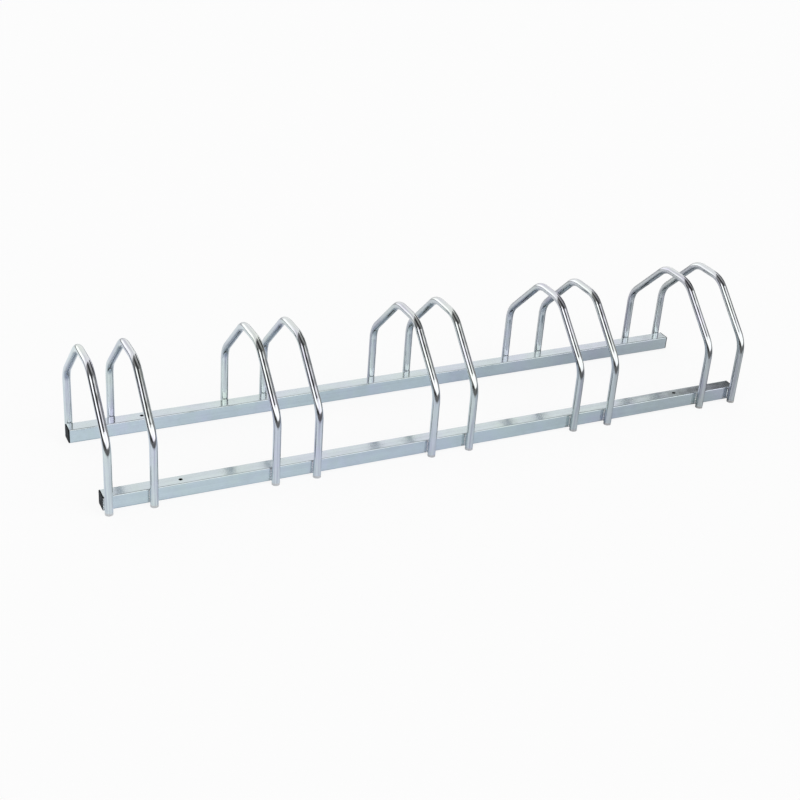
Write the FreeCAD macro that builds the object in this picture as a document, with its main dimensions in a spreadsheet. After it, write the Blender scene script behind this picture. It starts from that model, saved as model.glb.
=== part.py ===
import FreeCAD, Part
import math
import os
import Sketcher

# Floor rack for five bicycles. Two square rails lie on the floor, and ten bent tube hoops are welded
# to their outer faces in five pairs, so that a wheel rolls in between the two hoops of a pair.
# Millimetres. X runs along the rails, -Y is the side where the front wheels come in, +Z is up, and the
# origin is on the floor at the middle of the rack.

doc = FreeCAD.newDocument("FloorBikeRack")

# ---------------------------------------------------------------------------------------------------
# Driving dimensions
# ---------------------------------------------------------------------------------------------------

SIZES = [
    # hoops
    ("tube_diameter", 16.0, "outside of the round tube that the hoops are bent from"),
    ("tube_wall", 1.2, "wall of that tube"),
    ("hoop_height", 265.0, "floor to the highest point of a hoop"),
    ("leg_spacing", 310.0, "front leg to rear leg of a hoop, between centre lines"),
    ("top_run", 40.0, "straight part of a hoop's flat top"),
    ("shoulder_angle", 44.0, "degrees that a hoop's slanted shoulders rise above the floor"),
    ("bend_radius", 56.0, "centre line of the four bends"),
    ("pair_spacing", 87.0, "between the two hoops that hold one wheel, centre to centre"),
    ("inner_pitch", 341.0, "middle pair to the next pair"),
    ("end_pitch", 331.0, "that pair to the end pair"),
    # rails
    ("rail_side", 30.0, "outside of the square rail tube"),
    ("rail_wall", 1.5, "wall of that tube"),
    ("rail_corner", 2.5, "outside radius of the rail's long edges"),
    ("rail_lift", 4.0, "floor to the underside of the rails"),
    ("rail_overhang", 9.5, "centre of an end hoop to the outside of the end cap"),
    ("anchor_diameter", 8.0, "hole for a floor anchor, through both walls of the rail"),
    ("anchor_inset", 145.5, "centre of an end hoop to the anchor hole"),
    # end caps
    ("cap_flange", 2.5, "thickness of the plate that covers the rail's end"),
    ("cap_bevel", 0.6, "bevel round the plate's outer edge"),
    ("cap_stem_length", 16.0, "depth that the cap goes into the rail"),
    ("cap_stem_wall", 1.6, "wall of the cap's hollow stem"),
    ("cap_fin_height", 1.8, "fins that stand out from the stem"),
    ("cap_fin_thickness", 1.2, "thickness of one fin"),
    ("cap_fin_pitch", 4.5, "fin to fin, and plate to first fin"),
    ("cap_fin_count", 3, "fins on one cap"),
    ("cap_clearance", 0.1, "fin to the inside of the rail, on each side"),
    # welds
    ("weld_length", 26.0, "height of a bead on the rail's face"),
    ("weld_reach", 9.0, "leg's centre plane to the bead's edge on the rail"),
    ("weld_climb", 3.0, "rail's face to the bead's edge on the leg"),
    ("weld_root", 1.6, "leg's centre plane to where the bead starts"),
    ("weld_crown", 3.5, "radius of the bead's round face"),
]

sheet = doc.addObject("Spreadsheet::Sheet", "Sizes")
for row, (alias, value, meaning) in enumerate(SIZES, start=1):
    sheet.set(f"A{row}", str(value))
    sheet.setAlias(f"A{row}", alias)
    sheet.set(f"B{row}", meaning)
doc.recompute()


def size(alias):
    """The sheet's value, for geometry that a sketch starts from before its constraints hold it."""
    return float(sheet.get(alias))


# Sizes that follow from the ones above, as the text of an expression
TUBE_RADIUS = "Sizes.tube_diameter / 2"
END_HOOP = "(Sizes.inner_pitch + Sizes.end_pitch + Sizes.pair_spacing / 2)"
RAIL_OFFSET = "((Sizes.leg_spacing - Sizes.tube_diameter - Sizes.rail_side) / 2)"
RAIL_CENTRE_HEIGHT = "(Sizes.rail_lift + Sizes.rail_side / 2)"
RAIL_CUT_LENGTH = f"2 * ({END_HOOP} + Sizes.rail_overhang - Sizes.cap_flange)"
RAIL_BORE = "(Sizes.rail_side - 2 * Sizes.rail_wall)"
RAIL_BORE_CORNER = "(Sizes.rail_corner - Sizes.rail_wall)"
CAP_FIN_SIDE = f"({RAIL_BORE} - 2 * Sizes.cap_clearance)"
CAP_STEM_SIDE = f"({CAP_FIN_SIDE} - 2 * Sizes.cap_fin_height)"
CAP_STEM_BORE = f"({CAP_STEM_SIDE} - 2 * Sizes.cap_stem_wall)"

# ---------------------------------------------------------------------------------------------------
# Helpers
# ---------------------------------------------------------------------------------------------------

# How a sketch numbers the points of an edge, its own two axes and its origin
START, END, CENTRE = range(1, 4)
X_AXIS, Y_AXIS = range(-1, -3, -1)
ORIGIN = (-1, 1)
subparts = []


def origin_feature(body, role):
    return next(f for f in body.Origin.OriginFeatures if f.Role == role)


def new_body(label):
    body = doc.addObject("PartDesign::Body", label)
    body.Label = label
    subparts.append(body)
    return body


def new_sketch(body, name, plane):
    sketch = body.newObject("Sketcher::SketchObject", name)
    sketch.AttachmentSupport = [(origin_feature(body, plane), "")]
    sketch.MapMode = "FlatFace"
    return sketch


def drive(sketch, name, constraint, expression):
    """Adds a dimension to a sketch and binds it to the sheet."""
    index = sketch.addConstraint(constraint)
    sketch.renameConstraint(index, name)
    sketch.setExpression(f"Constraints.{name}", expression)


def place(body, x="0", y="0", z="0"):
    for axis, expression in zip("xyz", (x, y, z)):
        body.setExpression(f"Placement.Base.{axis}", expression)


def face_about(body):
    """Turns a body half way round Z, for the other end or the other side of the rack."""
    body.Placement = FreeCAD.Placement(FreeCAD.Vector(), FreeCAD.Rotation(FreeCAD.Vector(0, 0, 1), 180))


def value_of(expression):
    """The number that an expression of the sheet gives now."""
    return float(FreeCAD.Units.Quantity(sheet.evalExpression(expression)).Value)


def line(x0, y0, x1, y1):
    return Part.LineSegment(FreeCAD.Vector(x0, y0, 0), FreeCAD.Vector(x1, y1, 0))


def arc(x, y, radius, start_angle, end_angle):
    circle = Part.Circle(FreeCAD.Vector(x, y, 0), FreeCAD.Vector(0, 0, 1), radius)
    return Part.ArcOfCircle(circle, math.radians(start_angle), math.radians(end_angle))


def rounded_square(sketch, name, side, corner):
    """A square with round corners about the sketch's origin; side and corner are expressions."""
    half = value_of(side) / 2
    radius = value_of(corner)
    flat = half - radius
    first = None
    for turn in (0, 90, 180, 270):
        c, s = round(math.cos(math.radians(turn))), round(math.sin(math.radians(turn)))
        edge = sketch.addGeometry(line(-flat * c + half * s, -flat * s - half * c,
                                       flat * c + half * s, flat * s - half * c))
        sketch.addGeometry(arc((c + s) * flat, (s - c) * flat, radius, turn - 90, turn))
        first = edge if first is None else first
    bottom, right, top, left = (first + 2 * k for k in range(4))
    for k, edge in enumerate((bottom, right, top, left)):
        following = (right, top, left, bottom)[k]
        sketch.addConstraint(Sketcher.Constraint("Tangent", edge, END, edge + 1, START))
        sketch.addConstraint(Sketcher.Constraint("Tangent", edge + 1, END, following, START))
        if k:
            sketch.addConstraint(Sketcher.Constraint("Equal", bottom + 1, edge + 1))
    for edge in (bottom, top):
        sketch.addConstraint(Sketcher.Constraint("Horizontal", edge))
    for edge in (right, left):
        sketch.addConstraint(Sketcher.Constraint("Vertical", edge))
    sketch.addConstraint(Sketcher.Constraint("Symmetric", bottom, START, top, START, *ORIGIN))
    drive(sketch, f"{name}_width",
          Sketcher.Constraint("DistanceX", left, START, right, START, 2 * half), side)
    drive(sketch, f"{name}_height",
          Sketcher.Constraint("DistanceY", bottom, START, top, START, 2 * half), side)
    drive(sketch, f"{name}_corner", Sketcher.Constraint("Radius", bottom + 1, radius), corner)


def sharp_square(sketch, name, side):
    """A square with plain corners about the sketch's origin; side is an expression."""
    half = value_of(side) / 2
    corners = [(-half, -half), (half, -half), (half, half), (-half, half)]
    edges = []
    for k, (x0, y0) in enumerate(corners):
        x1, y1 = corners[(k + 1) % 4]
        edges.append(sketch.addGeometry(line(x0, y0, x1, y1)))
    for k, edge in enumerate(edges):
        sketch.addConstraint(Sketcher.Constraint("Coincident", edge, END, edges[(k + 1) % 4], START))
        sketch.addConstraint(Sketcher.Constraint(("Horizontal", "Vertical")[k % 2], edge))
    bottom, right, top, left = edges
    sketch.addConstraint(Sketcher.Constraint("Symmetric", bottom, START, top, START, *ORIGIN))
    drive(sketch, f"{name}_width",
          Sketcher.Constraint("DistanceX", bottom, START, bottom, END, 2 * half), side)
    drive(sketch, f"{name}_height",
          Sketcher.Constraint("DistanceY", right, START, right, END, 2 * half), side)


def pad(body, name, sketch, length, side_type="One side", reverse=False):
    feature = body.newObject("PartDesign::Pad", name)
    feature.Profile = sketch
    feature.SideType = side_type
    feature.Reversed = reverse
    feature.setExpression("Length", length)
    return feature


def mirrored(body, name, feature):
    """Repeats a feature on the other side of the body's YZ plane."""
    mirror = body.newObject("PartDesign::Mirrored", name)
    mirror.Originals = [feature]
    mirror.MirrorPlane = (origin_feature(body, "YZ_Plane"), [""])
    body.Tip = mirror
    return mirror


# ---------------------------------------------------------------------------------------------------
# Rails: square tube with two anchor holes, cut short at each end by the end cap's plate
# ---------------------------------------------------------------------------------------------------


def make_rail(label, y):
    body = new_body(label)
    section = new_sketch(body, "Section", "YZ_Plane")
    rounded_square(section, "outside", "Sizes.rail_side", "Sizes.rail_corner")
    rounded_square(section, "inside", RAIL_BORE, RAIL_BORE_CORNER)
    pad(body, "Tube", section, RAIL_CUT_LENGTH, side_type="Symmetric")

    anchor_x = f"{END_HOOP} - Sizes.anchor_inset"
    hole = new_sketch(body, "AnchorHole", "XY_Plane")
    centre = FreeCAD.Vector(value_of(anchor_x), 0, 0)
    ring = hole.addGeometry(Part.Circle(centre, FreeCAD.Vector(0, 0, 1), size("anchor_diameter") / 2))
    hole.addConstraint(Sketcher.Constraint("PointOnObject", ring, CENTRE, X_AXIS))
    drive(hole, "inset", Sketcher.Constraint("DistanceX", *ORIGIN, ring, CENTRE, centre.x), anchor_x)
    drive(hole, "bore", Sketcher.Constraint("Diameter", ring, size("anchor_diameter")),
          "Sizes.anchor_diameter")
    pocket = body.newObject("PartDesign::Pocket", "Anchor")
    pocket.Profile = hole
    pocket.SideType = "Symmetric"
    pocket.Type = "ThroughAll"
    mirrored(body, "Anchors", pocket)
    place(body, y=y, z=RAIL_CENTRE_HEIGHT)


# ---------------------------------------------------------------------------------------------------
# Hoops: one tube with four bends, swept up the front leg, over the flat top and down the rear leg
# ---------------------------------------------------------------------------------------------------


def hoop_path(sketch):
    """The hoop's centre line, in the plane across the rack: five straight runs and four bends."""
    reach = size("leg_spacing") / 2
    top = size("hoop_height") - size("tube_diameter") / 2
    radius = size("bend_radius")
    rise = size("shoulder_angle")
    slope = math.radians(rise)
    half_top = size("top_run") / 2
    shoulder_run = (reach - half_top - radius) / math.cos(slope)
    leg = top - radius - shoulder_run * math.sin(slope)

    runs_and_headings = [(leg, 90), (shoulder_run, rise), (2 * half_top, 0),
                         (shoulder_run, -rise), (leg, -90)]
    x, y = -reach, 0.0
    runs = []
    bends = []
    for k, (length, heading) in enumerate(runs_and_headings):
        along = math.radians(heading)
        x1, y1 = x + length * math.cos(along), y + length * math.sin(along)
        runs.append(sketch.addGeometry(line(x, y, x1, y1)))
        if k == len(runs_and_headings) - 1:
            break
        next_heading = runs_and_headings[k + 1][1]
        after = math.radians(next_heading)
        cx, cy = x1 + radius * math.sin(along), y1 - radius * math.cos(along)
        bends.append(sketch.addGeometry(arc(cx, cy, radius, next_heading + 90, heading + 90)))
        x, y = cx - radius * math.sin(after), cy + radius * math.cos(after)

    front_leg, front_shoulder, flat_top, rear_shoulder, rear_leg = runs
    for k, bend in enumerate(bends):
        sketch.addConstraint(Sketcher.Constraint("Tangent", runs[k], END, bend, END))
        sketch.addConstraint(Sketcher.Constraint("Tangent", bend, START, runs[k + 1], START))
        if k:
            sketch.addConstraint(Sketcher.Constraint("Equal", bends[0], bend))
    sketch.addConstraint(Sketcher.Constraint("Vertical", front_leg))
    sketch.addConstraint(Sketcher.Constraint("Vertical", rear_leg))
    sketch.addConstraint(Sketcher.Constraint("Horizontal", flat_top))
    sketch.addConstraint(Sketcher.Constraint("Equal", front_leg, rear_leg))
    sketch.addConstraint(Sketcher.Constraint("Equal", front_shoulder, rear_shoulder))
    sketch.addConstraint(Sketcher.Constraint("PointOnObject", front_leg, START, X_AXIS))
    sketch.addConstraint(Sketcher.Constraint("Symmetric", front_leg, START, rear_leg, END, *ORIGIN))
    drive(sketch, "leg_spacing",
          Sketcher.Constraint("DistanceX", front_leg, START, rear_leg, END, 2 * reach), "Sizes.leg_spacing")
    drive(sketch, "top", Sketcher.Constraint("DistanceY", *ORIGIN, flat_top, START, top),
          f"Sizes.hoop_height - {TUBE_RADIUS}")
    drive(sketch, "top_run",
          Sketcher.Constraint("DistanceX", flat_top, START, flat_top, END, 2 * half_top), "Sizes.top_run")
    drive(sketch, "shoulder", Sketcher.Constraint("Angle", front_shoulder, slope), "Sizes.shoulder_angle")
    drive(sketch, "bend", Sketcher.Constraint("Radius", bends[0], radius), "Sizes.bend_radius")


def tube_section(sketch):
    """The tube's two circles, on the floor under the front leg."""
    centre = FreeCAD.Vector(0, -size("leg_spacing") / 2, 0)
    outer_radius = size("tube_diameter") / 2
    bore_radius = outer_radius - size("tube_wall")
    outer = sketch.addGeometry(Part.Circle(centre, FreeCAD.Vector(0, 0, 1), outer_radius))
    bore = sketch.addGeometry(Part.Circle(centre, FreeCAD.Vector(0, 0, 1), bore_radius))
    sketch.addConstraint(Sketcher.Constraint("PointOnObject", outer, CENTRE, Y_AXIS))
    sketch.addConstraint(Sketcher.Constraint("Coincident", outer, CENTRE, bore, CENTRE))
    drive(sketch, "forward", Sketcher.Constraint("DistanceY", outer, CENTRE, *ORIGIN, -centre.y),
          "Sizes.leg_spacing / 2")
    drive(sketch, "outside", Sketcher.Constraint("Radius", outer, outer_radius), TUBE_RADIUS)
    drive(sketch, "bore", Sketcher.Constraint("Radius", bore, bore_radius),
          f"{TUBE_RADIUS} - Sizes.tube_wall")


def make_hoop(label, x):
    body = new_body(label)
    section = new_sketch(body, "TubeSection", "XY_Plane")
    tube_section(section)
    path = new_sketch(body, "CentreLine", "YZ_Plane")
    hoop_path(path)
    tube = body.newObject("PartDesign::AdditivePipe", "BentTube")
    tube.Profile = section
    tube.Spine = (path, [""])
    place(body, x=x)


# ---------------------------------------------------------------------------------------------------
# End caps: a plate over the rail's end, and a hollow stem whose fins grip the rail's inside
# ---------------------------------------------------------------------------------------------------


def make_cap(label, end, y):
    """end is 1 at the +X end of a rail and -1 at the other."""
    body = new_body(label)
    plate_outline = new_sketch(body, "PlateOutline", "YZ_Plane")
    rounded_square(plate_outline, "plate", "Sizes.rail_side", "Sizes.rail_corner")
    plate = pad(body, "Plate", plate_outline, "Sizes.cap_flange")
    doc.recompute()

    outer_edges = []
    for number, edge in enumerate(plate.Shape.Edges, start=1):
        if all(abs(vertex.X - size("cap_flange")) < 1e-6 for vertex in edge.Vertexes):
            outer_edges.append(f"Edge{number}")
    bevel = body.newObject("PartDesign::Chamfer", "PlateBevel")
    bevel.Base = (plate, outer_edges)
    bevel.setExpression("Size", "Sizes.cap_bevel")

    stem_outline = new_sketch(body, "StemOutline", "YZ_Plane")
    sharp_square(stem_outline, "outside", CAP_STEM_SIDE)
    sharp_square(stem_outline, "inside", CAP_STEM_BORE)
    pad(body, "Stem", stem_outline, "Sizes.cap_stem_length", reverse=True)

    fin_outline = new_sketch(body, "FinOutline", "YZ_Plane")
    fin_outline.setExpression("AttachmentOffset.Base.z", "-Sizes.cap_fin_pitch")
    rounded_square(fin_outline, "outside", CAP_FIN_SIDE, RAIL_BORE_CORNER)
    sharp_square(fin_outline, "inside", CAP_STEM_SIDE)
    fin = pad(body, "Fin", fin_outline, "Sizes.cap_fin_thickness")
    doc.recompute()

    fins = body.newObject("PartDesign::LinearPattern", "Fins")
    fins.Originals = [fin]
    fins.Direction = (origin_feature(body, "X_Axis"), [""])
    fins.Reversed = True
    fins.Mode = "Spacing"
    fins.setExpression("Offset", "Sizes.cap_fin_pitch")
    fins.setExpression("Occurrences", "Sizes.cap_fin_count")
    body.Tip = fins

    if end < 0:
        face_about(body)
    rail_end = f"({END_HOOP} + Sizes.rail_overhang - Sizes.cap_flange)"
    place(body, x=f"{end} * {rail_end}", y=y, z=RAIL_CENTRE_HEIGHT)


# ---------------------------------------------------------------------------------------------------
# Welds: a bead down each side of a leg, in the groove between the round leg and the rail's flat face
# ---------------------------------------------------------------------------------------------------


def bead_section(sketch):
    """One bead seen from above, with the leg's axis at the origin and the rail's face at +Y."""
    leg = size("tube_diameter") / 2
    root = size("weld_root")
    reach = size("weld_reach")
    toe_y = leg - size("weld_climb")
    toe_x = math.sqrt(leg ** 2 - toe_y ** 2)
    root_y = math.sqrt(leg ** 2 - root ** 2)
    crown = size("weld_crown")

    chord_x, chord_y = reach - toe_x, leg - toe_y
    chord = math.hypot(chord_x, chord_y)
    inset = math.sqrt(crown ** 2 - chord ** 2 / 4)
    crown_x = (reach + toe_x) / 2 - inset * chord_y / chord
    crown_y = (leg + toe_y) / 2 + inset * chord_x / chord

    def angle(dx, dy):
        return math.degrees(math.atan2(dy, dx))

    on_leg = sketch.addGeometry(arc(0, 0, leg, angle(toe_x, toe_y), angle(root, root_y)))
    at_root = sketch.addGeometry(line(root, root_y, root, leg))
    on_rail = sketch.addGeometry(line(root, leg, reach, leg))
    face = sketch.addGeometry(arc(crown_x, crown_y, crown, angle(toe_x - crown_x, toe_y - crown_y),
                                  angle(reach - crown_x, leg - crown_y)))

    sketch.addConstraint(Sketcher.Constraint("Coincident", on_leg, END, at_root, START))
    sketch.addConstraint(Sketcher.Constraint("Coincident", at_root, END, on_rail, START))
    sketch.addConstraint(Sketcher.Constraint("Coincident", on_rail, END, face, END))
    sketch.addConstraint(Sketcher.Constraint("Coincident", face, START, on_leg, START))
    sketch.addConstraint(Sketcher.Constraint("Coincident", on_leg, CENTRE, *ORIGIN))
    sketch.addConstraint(Sketcher.Constraint("Vertical", at_root))
    sketch.addConstraint(Sketcher.Constraint("Horizontal", on_rail))
    drive(sketch, "leg", Sketcher.Constraint("Radius", on_leg, leg), TUBE_RADIUS)
    drive(sketch, "rail_face", Sketcher.Constraint("DistanceY", *ORIGIN, on_rail, START, leg), TUBE_RADIUS)
    drive(sketch, "root", Sketcher.Constraint("DistanceX", *ORIGIN, on_rail, START, root), "Sizes.weld_root")
    drive(sketch, "reach", Sketcher.Constraint("DistanceX", *ORIGIN, on_rail, END, reach),
          "Sizes.weld_reach")
    drive(sketch, "climb", Sketcher.Constraint("DistanceY", face, START, on_rail, END, leg - toe_y),
          "Sizes.weld_climb")
    drive(sketch, "crown", Sketcher.Constraint("Radius", face, crown), "Sizes.weld_crown")


def make_weld(label, x, side):
    """side is -1 for a front leg, whose rail is behind it, and 1 for a rear leg."""
    body = new_body(label)
    section = new_sketch(body, "BeadSection", "XY_Plane")
    bead_section(section)
    bead = pad(body, "Bead", section, "Sizes.weld_length", side_type="Symmetric")
    doc.recompute()
    mirrored(body, "Beads", bead)
    if side > 0:
        face_about(body)
    place(body, x=x, y=f"{side} * Sizes.leg_spacing / 2", z=RAIL_CENTRE_HEIGHT)


# ---------------------------------------------------------------------------------------------------
# The rack
# ---------------------------------------------------------------------------------------------------

PAIR_CENTRES = [
    "-(Sizes.inner_pitch + Sizes.end_pitch)",
    "-Sizes.inner_pitch",
    "0",
    "Sizes.inner_pitch",
    "(Sizes.inner_pitch + Sizes.end_pitch)",
]
HOOP_PLACES = [f"{pair} {sign} Sizes.pair_spacing / 2" for pair in PAIR_CENTRES for sign in ("-", "+")]

make_rail("front_rail", f"-{RAIL_OFFSET}")
make_rail("rear_rail", RAIL_OFFSET)
for number, hoop_x in enumerate(HOOP_PLACES, start=1):
    make_hoop(f"hoop_{number:02d}", hoop_x)
    make_weld(f"weld_front_{number:02d}", hoop_x, side=-1)
    make_weld(f"weld_rear_{number:02d}", hoop_x, side=1)
for rail_name, rail_y in (("front", f"-{RAIL_OFFSET}"), ("rear", RAIL_OFFSET)):
    make_cap(f"cap_{rail_name}_left", -1, rail_y)
    make_cap(f"cap_{rail_name}_right", 1, rail_y)
doc.recompute()

# ---------------------------------------------------------------------------------------------------
# Checks and files
# ---------------------------------------------------------------------------------------------------

failed = [item.Name for item in doc.Objects if "Invalid" in item.State or "Error" in item.State]
if failed:
    raise RuntimeError(f"these objects failed: {failed}")
for body in subparts:
    if body.Shape.isNull() or not body.Shape.isValid() or not body.Shape.Solids:
        raise RuntimeError(f"{body.Label} has no valid solid")

os.makedirs("parts", exist_ok=True)
for body in subparts:
    body.Shape.exportStep(f"parts/{body.Label}.step")
print(f"wrote {len(subparts)} sub-parts")
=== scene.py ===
import math
from collections import namedtuple

import bmesh
import bpy
from mathutils import Matrix, Vector


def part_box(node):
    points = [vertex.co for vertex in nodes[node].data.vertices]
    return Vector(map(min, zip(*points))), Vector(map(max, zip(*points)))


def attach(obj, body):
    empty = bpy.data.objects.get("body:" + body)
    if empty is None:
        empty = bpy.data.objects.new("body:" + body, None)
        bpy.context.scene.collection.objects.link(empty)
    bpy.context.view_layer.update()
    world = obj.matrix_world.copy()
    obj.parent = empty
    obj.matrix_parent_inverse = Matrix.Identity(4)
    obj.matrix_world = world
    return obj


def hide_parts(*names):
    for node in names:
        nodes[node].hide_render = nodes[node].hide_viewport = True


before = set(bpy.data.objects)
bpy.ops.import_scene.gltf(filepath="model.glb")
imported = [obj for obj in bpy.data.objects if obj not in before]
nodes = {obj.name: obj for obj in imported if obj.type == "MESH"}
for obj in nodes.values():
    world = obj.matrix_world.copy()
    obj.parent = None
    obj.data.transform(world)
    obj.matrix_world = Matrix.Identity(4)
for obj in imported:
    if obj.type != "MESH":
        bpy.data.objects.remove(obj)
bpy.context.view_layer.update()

# Floor rack for five bicycles: bright zinc plated tube on a pale studio floor. Metres, +Z up, with
# the front rail towards -Y.

# -------------------------------------------------------------------------------------------------
# Shader helpers
# -------------------------------------------------------------------------------------------------


def add(tree, kind, **settings):
    """Adds a shader node; a setting is either a property of the node or one of its inputs."""
    made = tree.nodes.new(kind)
    for name, value in settings.items():
        if hasattr(made, name):
            setattr(made, name, value)
        else:
            made.inputs[name.replace("_", " ")].default_value = value
    return made


def link(tree, source, target):
    tree.links.new(source, target)


def math_node(tree, operation, first, second=None):
    """first and second are numbers or sockets."""
    made = add(tree, "ShaderNodeMath", operation=operation)
    for k, value in enumerate((first, second)):
        if value is None:
            continue
        if isinstance(value, (int, float)):
            made.inputs[k].default_value = value
        else:
            link(tree, value, made.inputs[k])
    return made.outputs[0]


def product(tree, first, *others):
    """Sockets and numbers multiplied together."""
    for other in others:
        first = math_node(tree, "MULTIPLY", first, other)
    return first


def total(tree, first, second):
    return math_node(tree, "ADD", first, second)


def object_place(tree):
    """Coordinates on the piece itself, in metres."""
    return add(tree, "ShaderNodeTexCoord").outputs["Object"]


def split(tree, vector):
    """A node whose outputs are the X, Y and Z of a vector."""
    axes = add(tree, "ShaderNodeSeparateXYZ")
    link(tree, vector, axes.inputs[0])
    return axes


def stretched(tree, factors):
    """Object coordinates times the three factors, for grain that runs along a piece."""
    mapping = add(tree, "ShaderNodeMapping", vector_type="POINT")
    mapping.inputs["Scale"].default_value = factors
    link(tree, object_place(tree), mapping.inputs["Vector"])
    return mapping.outputs["Vector"]


def noise(tree, factors, scale, detail=3.0, roughness=0.5, distortion=0.0):
    made = add(tree, "ShaderNodeTexNoise", Scale=scale, Detail=detail, Roughness=roughness,
               Distortion=distortion)
    link(tree, stretched(tree, factors), made.inputs["Vector"])
    return made.outputs["Fac"]


def ramp(tree, source, stops):
    """stops are (position, (r, g, b)) or (position, grey)."""
    made = add(tree, "ShaderNodeValToRGB")
    elements = made.color_ramp.elements
    while len(elements) < len(stops):
        elements.new(0.5)
    for element, (position, colour) in zip(elements, stops):
        rgb = (colour,) * 3 if isinstance(colour, (int, float)) else colour
        element.position = position
        element.color = (*rgb, 1.0)
    link(tree, source, made.inputs["Fac"])
    return made.outputs["Color"]


def mixed(tree, amount, first, second, blend="MIX"):
    """amount is a number or a socket; first and second are colours or sockets."""
    made = add(tree, "ShaderNodeMix", data_type="RGBA", blend_type=blend)
    for index, value in ((0, amount), (6, first), (7, second)):
        socket = made.inputs[index]
        if isinstance(value, (int, float)):
            socket.default_value = value
        elif isinstance(value, tuple):
            socket.default_value = (*value, 1.0)
        else:
            link(tree, value, socket)
    return made.outputs[2]


def bumped(tree, height, distance, strength, below=None):
    """A surface's slope from a height map, on top of the slope below."""
    made = add(tree, "ShaderNodeBump", Strength=strength, Distance=distance)
    link(tree, height, made.inputs["Height"])
    if below is not None:
        link(tree, below, made.inputs["Normal"])
    return made.outputs["Normal"]


def eased(tree, value, start, stop):
    """0 at start and 1 at stop, with a smooth run between."""
    made = add(tree, "ShaderNodeMapRange", interpolation_type="SMOOTHSTEP")
    made.inputs["From Min"].default_value = start
    made.inputs["From Max"].default_value = stop
    link(tree, value, made.inputs["Value"])
    return made.outputs["Result"]


def new_material(name):
    material = bpy.data.materials.new(name)
    material.use_nodes = True
    tree = material.node_tree
    tree.nodes.clear()
    surface = add(tree, "ShaderNodeBsdfPrincipled")
    output = add(tree, "ShaderNodeOutputMaterial")
    link(tree, surface.outputs["BSDF"], output.inputs["Surface"])
    return material, tree, surface


# -------------------------------------------------------------------------------------------------
# Materials
# -------------------------------------------------------------------------------------------------

# The plating's colours, from cold to warm.
TUBE_TINTS = ((0.738, 0.736, 0.810), (0.748, 0.784, 0.778), (0.756, 0.802, 0.742))
RAIL_TINTS = ((0.652, 0.684, 0.775), (0.646, 0.718, 0.750), (0.648, 0.736, 0.716))

# Sizes of the patches that all the zinc has: drifts of tint, stains and slow waves of the surface.
EVEN = (1, 1, 1)
CLOUD_SCALE = 9.0
STAIN_SCALE = 38.0
WAVE_SCALE = 26.0

# How the stains, the drawing lines and the die marks darken it, and how much of its gloss is the
# lines'.
STAIN_STOPS = [(0.45, 0.0), (0.75, 0.5)]
STAIN_SHADE = 0.9
LINE_SHARE = 0.16
LINE_STOPS = [(0.3, 0.55), (0.7, 1.0)]
MARK_STOPS = [(0.36, (0.62, 0.58, 0.70)), (0.48, (0.92, 0.91, 0.94)), (0.60, 1.0)]
LINES_IN_GLOSS = 0.45

# The lowest few millimetres of the legs, warmer and duller: full below the first height and gone
# above the second, in metres.
FOOT_BAND_FULL = 0.0040
FOOT_BAND_GONE = 0.0065
FOOT_BAND_SHARE = 0.75
FOOT_BAND_COLOUR = (0.74, 0.68, 0.64)
FOOT_BAND_ROUGHNESS = (0.40, 0.40, 0.40)

WAVE_STRENGTH = 0.6
MARK_STRENGTH = 0.6
LINE_STRENGTH = 0.35

PLASTIC_SPECULAR = 0.12
PLASTIC_GRAIN_SCALE = 900.0
PLASTIC_GRAIN_DEPTH = 0.0002
PLASTIC_GRAIN_STRENGTH = 0.25
PLASTIC_BLACK = (0.010, 0.010, 0.011)
PLASTIC_SCUFF = (0.055, 0.055, 0.058)
SCUFF_SCALE = 70.0
SCUFF_STRETCH = (1, 3, 1)
SCUFF_STOPS = [(0.55, 0.0), (0.8, 0.35)]
PLASTIC_ROUGHNESS = [(0.3, 0.50), (0.75, 0.68)]


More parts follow.
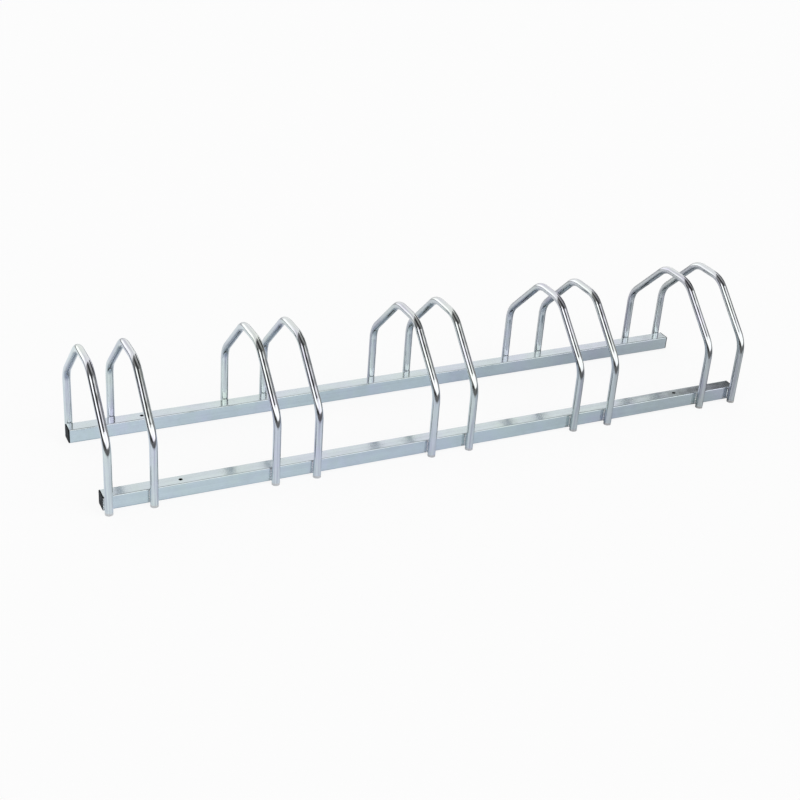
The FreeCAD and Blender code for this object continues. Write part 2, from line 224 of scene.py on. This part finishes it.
def zinc(name, lines, marks, mark_share, tints, gloss, depths, foot_band=False):
    """Blue-white zinc plating. lines and marks stretch the fine drawing lines and the broader die
    marks along the piece, and mark_share is how much the die marks colour it. gloss is the lowest
    and highest roughness, and depths are those of the lines, die marks and waves in metres.
    The last argument makes the lowest few millimetres of the legs duller and warmer."""
    material, tree, surface = new_material(name)
    surface.inputs["Metallic"].default_value = 1.0

    clouds = noise(tree, EVEN, CLOUD_SCALE, detail=4.0, roughness=0.6, distortion=0.4)
    stains = noise(tree, EVEN, STAIN_SCALE, detail=3.0, roughness=0.7)
    line_height = noise(tree, lines, 1.0, detail=2.0, roughness=0.8)
    mark_height = noise(tree, marks, 1.0, detail=1.5, roughness=0.6)
    cold, plain, warm = tints
    stained = tuple(STAIN_SHADE * channel for channel in plain)
    colour = ramp(tree, clouds, [(0.32, cold), (0.5, plain), (0.7, warm)])
    colour = mixed(tree, ramp(tree, stains, STAIN_STOPS), colour, stained)
    line_shade = ramp(tree, line_height, LINE_STOPS)
    colour = mixed(tree, LINE_SHARE, colour, line_shade, "MULTIPLY")
    mark_shade = ramp(tree, mark_height, MARK_STOPS)
    colour = mixed(tree, mark_share, colour, mark_shade, "MULTIPLY")

    lowest, highest = gloss
    patches = mixed(tree, LINES_IN_GLOSS, stains, line_height)
    roughness = ramp(tree, patches, [(0.3, lowest), (0.7, highest)])
    if foot_band:
        # The lowest few millimetres of the legs turn warmer and duller.
        height = split(tree, object_place(tree)).outputs["Z"]
        foot_share = product(tree, eased(tree, height, FOOT_BAND_GONE, FOOT_BAND_FULL), FOOT_BAND_SHARE)
        colour = mixed(tree, foot_share, colour, FOOT_BAND_COLOUR)
        roughness = mixed(tree, foot_share, roughness, FOOT_BAND_ROUGHNESS)
    link(tree, colour, surface.inputs["Base Color"])
    link(tree, roughness, surface.inputs["Roughness"])

    line_depth, mark_depth, wave_depth = depths
    waves = noise(tree, EVEN, WAVE_SCALE, detail=1.0)
    slope = bumped(tree, waves, wave_depth, WAVE_STRENGTH)
    slope = bumped(tree, mark_height, mark_depth, MARK_STRENGTH, below=slope)
    slope = bumped(tree, line_height, line_depth, LINE_STRENGTH, below=slope)
    link(tree, slope, surface.inputs["Normal"])
    return material


def plastic(name):
    """Black moulded plastic with a fine grain and pale scuffs."""
    material, tree, surface = new_material(name)
    surface.inputs["Specular IOR Level"].default_value = PLASTIC_SPECULAR
    grain = noise(tree, EVEN, PLASTIC_GRAIN_SCALE, detail=2.0)
    scuffs = noise(tree, SCUFF_STRETCH, SCUFF_SCALE, detail=5.0, roughness=0.7)
    colour = mixed(tree, ramp(tree, scuffs, SCUFF_STOPS), PLASTIC_BLACK, PLASTIC_SCUFF)
    roughness = ramp(tree, scuffs, PLASTIC_ROUGHNESS)
    slope = bumped(tree, grain, PLASTIC_GRAIN_DEPTH, PLASTIC_GRAIN_STRENGTH)
    link(tree, colour, surface.inputs["Base Color"])
    link(tree, roughness, surface.inputs["Roughness"])
    link(tree, slope, surface.inputs["Normal"])
    return material


tube_zinc = zinc("zinc_on_tube", lines=(1500, 9, 9), marks=(230, 6, 6), mark_share=0.7,
                 tints=TUBE_TINTS, gloss=(0.04, 0.10), depths=(0.0001, 0.0005, 0.0012),
                 foot_band=True)
rail_zinc = zinc("zinc_on_rail", lines=(6, 900, 900), marks=(2, 110, 110), mark_share=0.12,
                 tints=RAIL_TINTS, gloss=(0.11, 0.20), depths=(0.0001, 0.0001, 0.0008))
weld_zinc = zinc("zinc_on_weld", lines=(260, 260, 700), marks=(520, 520, 520), mark_share=0.8,
                 tints=TUBE_TINTS, gloss=(0.12, 0.28), depths=(0.0004, 0.0005, 0.0010))
cap_black = plastic("black_cap_plastic")

for name, piece in nodes.items():
    if name.startswith("hoop"):
        material = tube_zinc
    elif name.endswith("rail"):
        material = rail_zinc
    elif name.startswith("cap"):
        material = cap_black
    else:
        material = weld_zinc
    piece.material_slots[0].material = material

# -------------------------------------------------------------------------------------------------
# Weld beads: overlapping ripples up each side of a leg, in the groove between leg and rail
# -------------------------------------------------------------------------------------------------

# In metres, apart from the flatness and the last two. A bead goes from its toe, on the leg, to its
# edge on the rail's face; its root is the thin side, next to where leg and rail touch.
LEG_RADIUS = 0.008
BEAD_ROOT = 0.0016
BEAD_REACH = 0.0090
BEAD_CLIMB = 0.0030
BEAD_CROWN = 0.0012
BEAD_TAPER = 0.0022
BEAD_FLATNESS = 0.7
RIPPLE_PITCH = 0.0024
RIPPLE_HEIGHT = 0.0006
RIPPLE_SAG = 0.0013
FACE_STEPS = 10
BEAD_RINGS = 96

# The slow swell of a bead, in metres, and in radians over its length and against its ripples; then
# what sets the ripples of one bead apart from those of the others, in radians.
SWELL_HEIGHT = 0.00018
SWELL_TURN = 41.0
SWELL_PHASE = 3.1
PHASE_OF_LEG = 0.9
PHASE_OF_SIDE = 1.7
PHASE_OF_REAR = 2.3


def bead_ring(height, low, high, phase):
    """The bead's outline at one height, about the leg's axis, with the rail's face at +Y."""
    toe_y = LEG_RADIUS - BEAD_CLIMB
    toe = Vector((math.sqrt(LEG_RADIUS ** 2 - toe_y ** 2), toe_y))
    edge = Vector((BEAD_REACH, LEG_RADIUS))
    chord = edge - toe
    outward = Vector((chord.y, -chord.x)).normalized()
    from_end = min(height - low, high - height)
    taper = min(1.0, from_end / BEAD_TAPER)
    fullness = math.sqrt(max(0.0, 1 - (1 - taper) ** 2))
    swell = math.sin(SWELL_TURN * height / (high - low) + phase * SWELL_PHASE) * SWELL_HEIGHT
    ring = []
    for k in range(FACE_STEPS + 1):
        across = k / FACE_STEPS
        bulge = 1 - (2 * across - 1) ** 2
        sagged = height + RIPPLE_SAG * bulge
        ripple = abs(math.sin(math.pi * sagged / RIPPLE_PITCH + phase))
        crown = BEAD_CROWN + swell + RIPPLE_HEIGHT * (ripple - 0.5)
        depth = crown * bulge ** BEAD_FLATNESS * fullness
        point = toe + chord * across + outward * depth
        ring.append((point.x, point.y, height))
    ring.append((BEAD_ROOT, LEG_RADIUS, height))
    ring.append((BEAD_ROOT, math.sqrt(LEG_RADIUS ** 2 - BEAD_ROOT ** 2), height))
    return ring


def add_bead(mesh, side, low, high, phase):
    """One closed bead on the left (-1) or right (1) of the leg."""
    rings = []
    for k in range(BEAD_RINGS + 1):
        height = low + (high - low) * k / BEAD_RINGS
        outline = bead_ring(height, low, high, phase)
        rings.append([mesh.verts.new((side * x, y, z)) for x, y, z in outline])
    count = len(rings[0])
    for below, above in zip(rings, rings[1:]):
        for k in range(count):
            following = (k + 1) % count
            mesh.faces.new((below[k], below[following], above[following], above[k]))
    mesh.faces.new(rings[0])
    mesh.faces.new(rings[-1])


def weld_beads(name, replaced, number):
    """Two beads in place of a node's two plain ones."""
    lowest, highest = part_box(replaced)
    rear = lowest.y > 0
    mesh = bmesh.new()
    for side in (-1, 1):
        phase = PHASE_OF_LEG * number + PHASE_OF_SIDE * side + (PHASE_OF_REAR if rear else 0.0)
        add_bead(mesh, side, lowest.z, highest.z, phase)
    bmesh.ops.recalc_face_normals(mesh, faces=mesh.faces)
    for face in mesh.faces:
        face.smooth = len(face.verts) == 4
    centre_x = (lowest.x + highest.x) / 2
    if rear:
        leg_y = highest.y + (LEG_RADIUS - BEAD_CLIMB)
        turn = Matrix.Rotation(math.pi, 4, "Z")
    else:
        leg_y = lowest.y - (LEG_RADIUS - BEAD_CLIMB)
        turn = Matrix.Identity(4)
    mesh.transform(Matrix.Translation((centre_x, leg_y, 0)) @ turn)
    data = bpy.data.meshes.new(name)
    mesh.to_mesh(data)
    mesh.free()
    data.materials.append(weld_zinc)
    piece = bpy.data.objects.new(name, data)
    bpy.context.scene.collection.objects.link(piece)
    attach(piece, "root")
    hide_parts(replaced)


for number in range(1, 11):
    for row in ("front", "rear"):
        weld_beads(f"bead_{row}_{number:02d}", f"weld_{row}_{number:02d}", number)

# -------------------------------------------------------------------------------------------------
# Studio: a pale floor and white backdrop, with soft boxes and a darker ceiling, window and doorway
# for the metal to mirror. The camera itself sees white around the rack.
# -------------------------------------------------------------------------------------------------

# A panel of the room: azimuth and elevation of its middle, half its width and half its height, all
# in degrees; how square its outline is and how soft its edge; and gain, the light that it adds, or
# below zero the share of the light that it takes away.
Panel = namedtuple("Panel", "azimuth middle half_width half_height squareness softness gain")

BACKDROP = Panel(90.0, 12.0, 58.0, 48.0, 4.0, 0.08, 0.62)
BACKDROP_GLOW = Panel(124.0, 9.0, 24.0, 20.0, 2.0, 0.50, 0.62)
FRONT_BOX = Panel(-74.0, 25.0, 53.0, 34.5, 2.6, 0.08, 1.18)
LEFT_BOX = Panel(-152.0, 28.0, 27.0, 21.5, 2.6, 0.10, 1.35)
CEILING_LIGHT = Panel(30.0, 76.0, 78.0, 26.0, 2.0, 0.35, 0.34)
DARK_WINDOW = Panel(28.0, 32.0, 23.0, 15.0, 4.0, 0.10, -0.96)
DARK_DOORWAY = Panel(-163.0, 4.0, 64.0, 16.0, 2.2, 0.25, -0.90)

# Brightness of the walls and the ceiling, and the elevations between which a thing fades in.
ROOM = 0.28
CEILING = 0.05
CEILING_EDGE = (44.0, 58.0)
FRONT_BOX_FOOT = (2.0, 9.0)

FLOOR_HALF_SIDE = 7.0
FLOOR_NEAR = (0.64, 0.75, 0.88)
FLOOR_FAR = (0.24, 0.243, 0.246)
# Painted light: the sheet paler and greyer behind the rack, as the backdrop would light it.
FLOOR_PAINTED_LIGHT_BEHIND = (0.80, 0.81, 0.83)
# Painted shade: the sheet darker towards the right.
FLOOR_PAINTED_SHADE_RIGHT = (0.520, 0.565, 0.605)
# Colour of the painted sheen in what the metal mirrors; the camera sees plain white there.
FLOOR_WHITE = (0.88, 0.95, 1.0)
FLOOR_SEEN = (1.2, 1.2, 1.2)
FLOOR_SEEN_SHARE = 0.88

# Places on the floor, in metres: the pale sheet's edges and how softly they fade, and where its
# colour passes over to the painted shade on the right and the painted light behind.
SHEET_FRONT = -0.46
SHEET_FRONT_FADE = 0.12
SHEET_SIDE = 1.25
SHEET_SIDE_FADE = 0.25
PAINTED_SHADE_RUN = (0.0, 0.75)
PAINTED_LIGHT_RUN = (0.15, 0.35)

# The sheet's polish in what the metal mirrors, from steep views (0) to grazing ones (1), and its
# painted sheen, a white glow painted on the sheet for the metal to mirror, which falls off from
# left to right.
POLISH_SHARE = 0.22
POLISH_COLOUR = (0.95, 0.97, 1.0, 1.0)
POLISH_ROUGHNESS = 0.28
POLISH_STARTS = (0.10, 0.46)
POLISH_ENDS = (0.88, 0.70)
SHEEN_PER_METRE = -0.64
SHEEN_AT_CENTRE = 0.27


def background_rays(tree):
    """Camera rays, and the rays by which metal shows the background."""
    path = add(tree, "ShaderNodeLightPath")
    glossy, through = path.outputs["Is Glossy Ray"], path.outputs["Is Transmission Ray"]
    return path.outputs["Is Camera Ray"], math_node(tree, "MAXIMUM", glossy, through)


def inside(tree, axes, elevation, panel):
    """How far a direction lies inside a soft edged panel of the room, 0 to 1."""
    azimuth = math.radians(panel.azimuth)
    cosine, sine = math.cos(azimuth), math.sin(azimuth)
    x, y = axes.outputs["X"], axes.outputs["Y"]
    along = total(tree, product(tree, x, cosine), product(tree, y, sine))
    across = math_node(tree, "SUBTRACT", product(tree, x, sine), product(tree, y, cosine))
    turned = math_node(tree, "ARCTAN2", math_node(tree, "ABSOLUTE", across), along)
    aside = math_node(tree, "DEGREES", turned)
    above = math_node(tree, "ABSOLUTE", math_node(tree, "SUBTRACT", elevation, panel.middle))
    wide = math_node(tree, "DIVIDE", aside, panel.half_width)
    tall = math_node(tree, "DIVIDE", above, panel.half_height)
    powers = total(tree, math_node(tree, "POWER", wide, panel.squareness),
                   math_node(tree, "POWER", tall, panel.squareness))
    reach = math_node(tree, "POWER", powers, 1.0 / panel.squareness)
    return eased(tree, reach, 1.0 + panel.softness, 1.0 - panel.softness)


def make_world():
    """The room by direction, with a backdrop that is white in what the metal mirrors."""
    world = bpy.data.worlds.new("studio")
    bpy.context.scene.world = world
    world.use_nodes = True
    tree = world.node_tree
    tree.nodes.clear()
    axes = split(tree, add(tree, "ShaderNodeTexCoord").outputs["Generated"])
    elevation = math_node(tree, "DEGREES", math_node(tree, "ARCSINE", axes.outputs["Z"]))

    def within(panel):
        return inside(tree, axes, elevation, panel)

    def past(panel):
        """The share of the light that a dark panel leaves, 1 outside it."""
        return total(tree, product(tree, within(panel), panel.gain), 1.0)

    overhead = eased(tree, elevation, *CEILING_EDGE)
    level = total(tree, product(tree, overhead, CEILING - ROOM), ROOM)
    past_window = past(DARK_WINDOW)
    backdrop = product(tree, within(BACKDROP), past_window)
    foot = eased(tree, elevation, *FRONT_BOX_FOOT)
    lit = [(backdrop, BACKDROP),
           (within(BACKDROP_GLOW), BACKDROP_GLOW),
           (product(tree, foot, within(FRONT_BOX)), FRONT_BOX),
           (within(LEFT_BOX), LEFT_BOX),
           (within(CEILING_LIGHT), CEILING_LIGHT)]
    for share, panel in lit:
        level = total(tree, level, product(tree, share, panel.gain))
    level = product(tree, level, past(DARK_DOORWAY), past_window)

    seen, mirrored = background_rays(tree)
    white = math_node(tree, "MAXIMUM", seen, product(tree, mirrored, backdrop))
    light = add(tree, "ShaderNodeBackground")
    output = add(tree, "ShaderNodeOutputWorld")
    link(tree, math_node(tree, "MAXIMUM", level, white), light.inputs["Color"])
    link(tree, light.outputs[0], output.inputs["Surface"])


def floor_material():
    """A pale sheet on a grey floor, with painted shade on the right, painted light behind and a
    painted sheen that the metal mirrors. The camera sees both as white with the rack's shadow.
    """
    material = bpy.data.materials.new("pale_floor")
    material.use_nodes = True
    tree = material.node_tree
    tree.nodes.clear()

    axes = split(tree, object_place(tree))
    x, y = axes.outputs["X"], axes.outputs["Y"]
    front = eased(tree, y, SHEET_FRONT - SHEET_FRONT_FADE, SHEET_FRONT + SHEET_FRONT_FADE)
    sides = eased(tree, math_node(tree, "ABSOLUTE", x), SHEET_SIDE + SHEET_SIDE_FADE,
                  SHEET_SIDE - SHEET_SIDE_FADE)
    near = product(tree, front, sides)
    # Painted shade on the right of the sheet and painted light behind it, in what the metal
    # mirrors and in the light the floor throws back.
    sheet = mixed(tree, eased(tree, x, *PAINTED_SHADE_RUN), FLOOR_NEAR, FLOOR_PAINTED_SHADE_RIGHT)
    sheet = mixed(tree, eased(tree, y, *PAINTED_LIGHT_RUN), sheet, FLOOR_PAINTED_LIGHT_BEHIND)
    sheet = mixed(tree, near, FLOOR_FAR, sheet)
    slope = add(tree, "ShaderNodeLayerWeight", Blend=0.5).outputs["Facing"]
    sloping = product(tree, eased(tree, slope, *POLISH_STARTS), eased(tree, slope, *POLISH_ENDS))
    grazing = product(tree, near, sloping)
    leftward = total(tree, product(tree, x, SHEEN_PER_METRE), SHEEN_AT_CENTRE)

    seen, mirrored = background_rays(tree)
    matt = add(tree, "ShaderNodeBsdfDiffuse")
    link(tree, mixed(tree, seen, sheet, FLOOR_SEEN), matt.inputs["Color"])
    polish = add(tree, "ShaderNodeBsdfGlossy", Color=POLISH_COLOUR, Roughness=POLISH_ROUGHNESS)
    polished = add(tree, "ShaderNodeMixShader")
    link(tree, product(tree, mirrored, grazing, POLISH_SHARE), polished.inputs["Fac"])
    link(tree, matt.outputs[0], polished.inputs[1])
    link(tree, polish.outputs[0], polished.inputs[2])

    white = add(tree, "ShaderNodeEmission", Strength=1.0)
    link(tree, mixed(tree, seen, FLOOR_WHITE, (1.0, 1.0, 1.0)), white.inputs["Color"])
    # Painted sheen: a white glow on the sheet, stronger to the left, that only mirrored rays see.
    painted_sheen = product(tree, mirrored, grazing, leftward)
    seen_white = product(tree, seen, FLOOR_SEEN_SHARE)
    blend = add(tree, "ShaderNodeMixShader")
    output = add(tree, "ShaderNodeOutputMaterial")
    link(tree, math_node(tree, "MAXIMUM", seen_white, painted_sheen), blend.inputs["Fac"])
    link(tree, polished.outputs[0], blend.inputs[1])
    link(tree, white.outputs[0], blend.inputs[2])
    link(tree, blend.outputs[0], output.inputs["Surface"])
    return material


def make_floor():
    side = FLOOR_HALF_SIDE
    corners = [(-side, -side, 0), (side, -side, 0), (side, side, 0), (-side, side, 0)]
    mesh = bpy.data.meshes.new("floor")
    mesh.from_pydata(corners, [], [(0, 1, 2, 3)])
    floor = bpy.data.objects.new("floor", mesh)
    bpy.context.scene.collection.objects.link(floor)
    mesh.materials.append(floor_material())


make_floor()
make_world()

# -------------------------------------------------------------------------------------------------
# Camera
# -------------------------------------------------------------------------------------------------

CAMERA_PLACE = Vector((-1.25909, -2.36220, 1.47070))
CAMERA_AIM = Vector((-0.11404, -0.13276, 0.13055))
CAMERA_ROLL = math.radians(4.379)
CAMERA_LENS = 63.758

lens = bpy.data.cameras.new("camera")
lens.lens = CAMERA_LENS
lens.sensor_width = 36.0
lens.sensor_fit = "HORIZONTAL"
camera = bpy.data.objects.new("camera", lens)
looking = (CAMERA_AIM - CAMERA_PLACE).to_track_quat("-Z", "Y").to_matrix().to_4x4()
rolled = looking @ Matrix.Rotation(CAMERA_ROLL, 4, "Z")
camera.matrix_world = Matrix.Translation(CAMERA_PLACE) @ rolled
bpy.context.scene.collection.objects.link(camera)
bpy.context.scene.camera = camera
bpy.context.scene.view_settings.view_transform = "Standard"
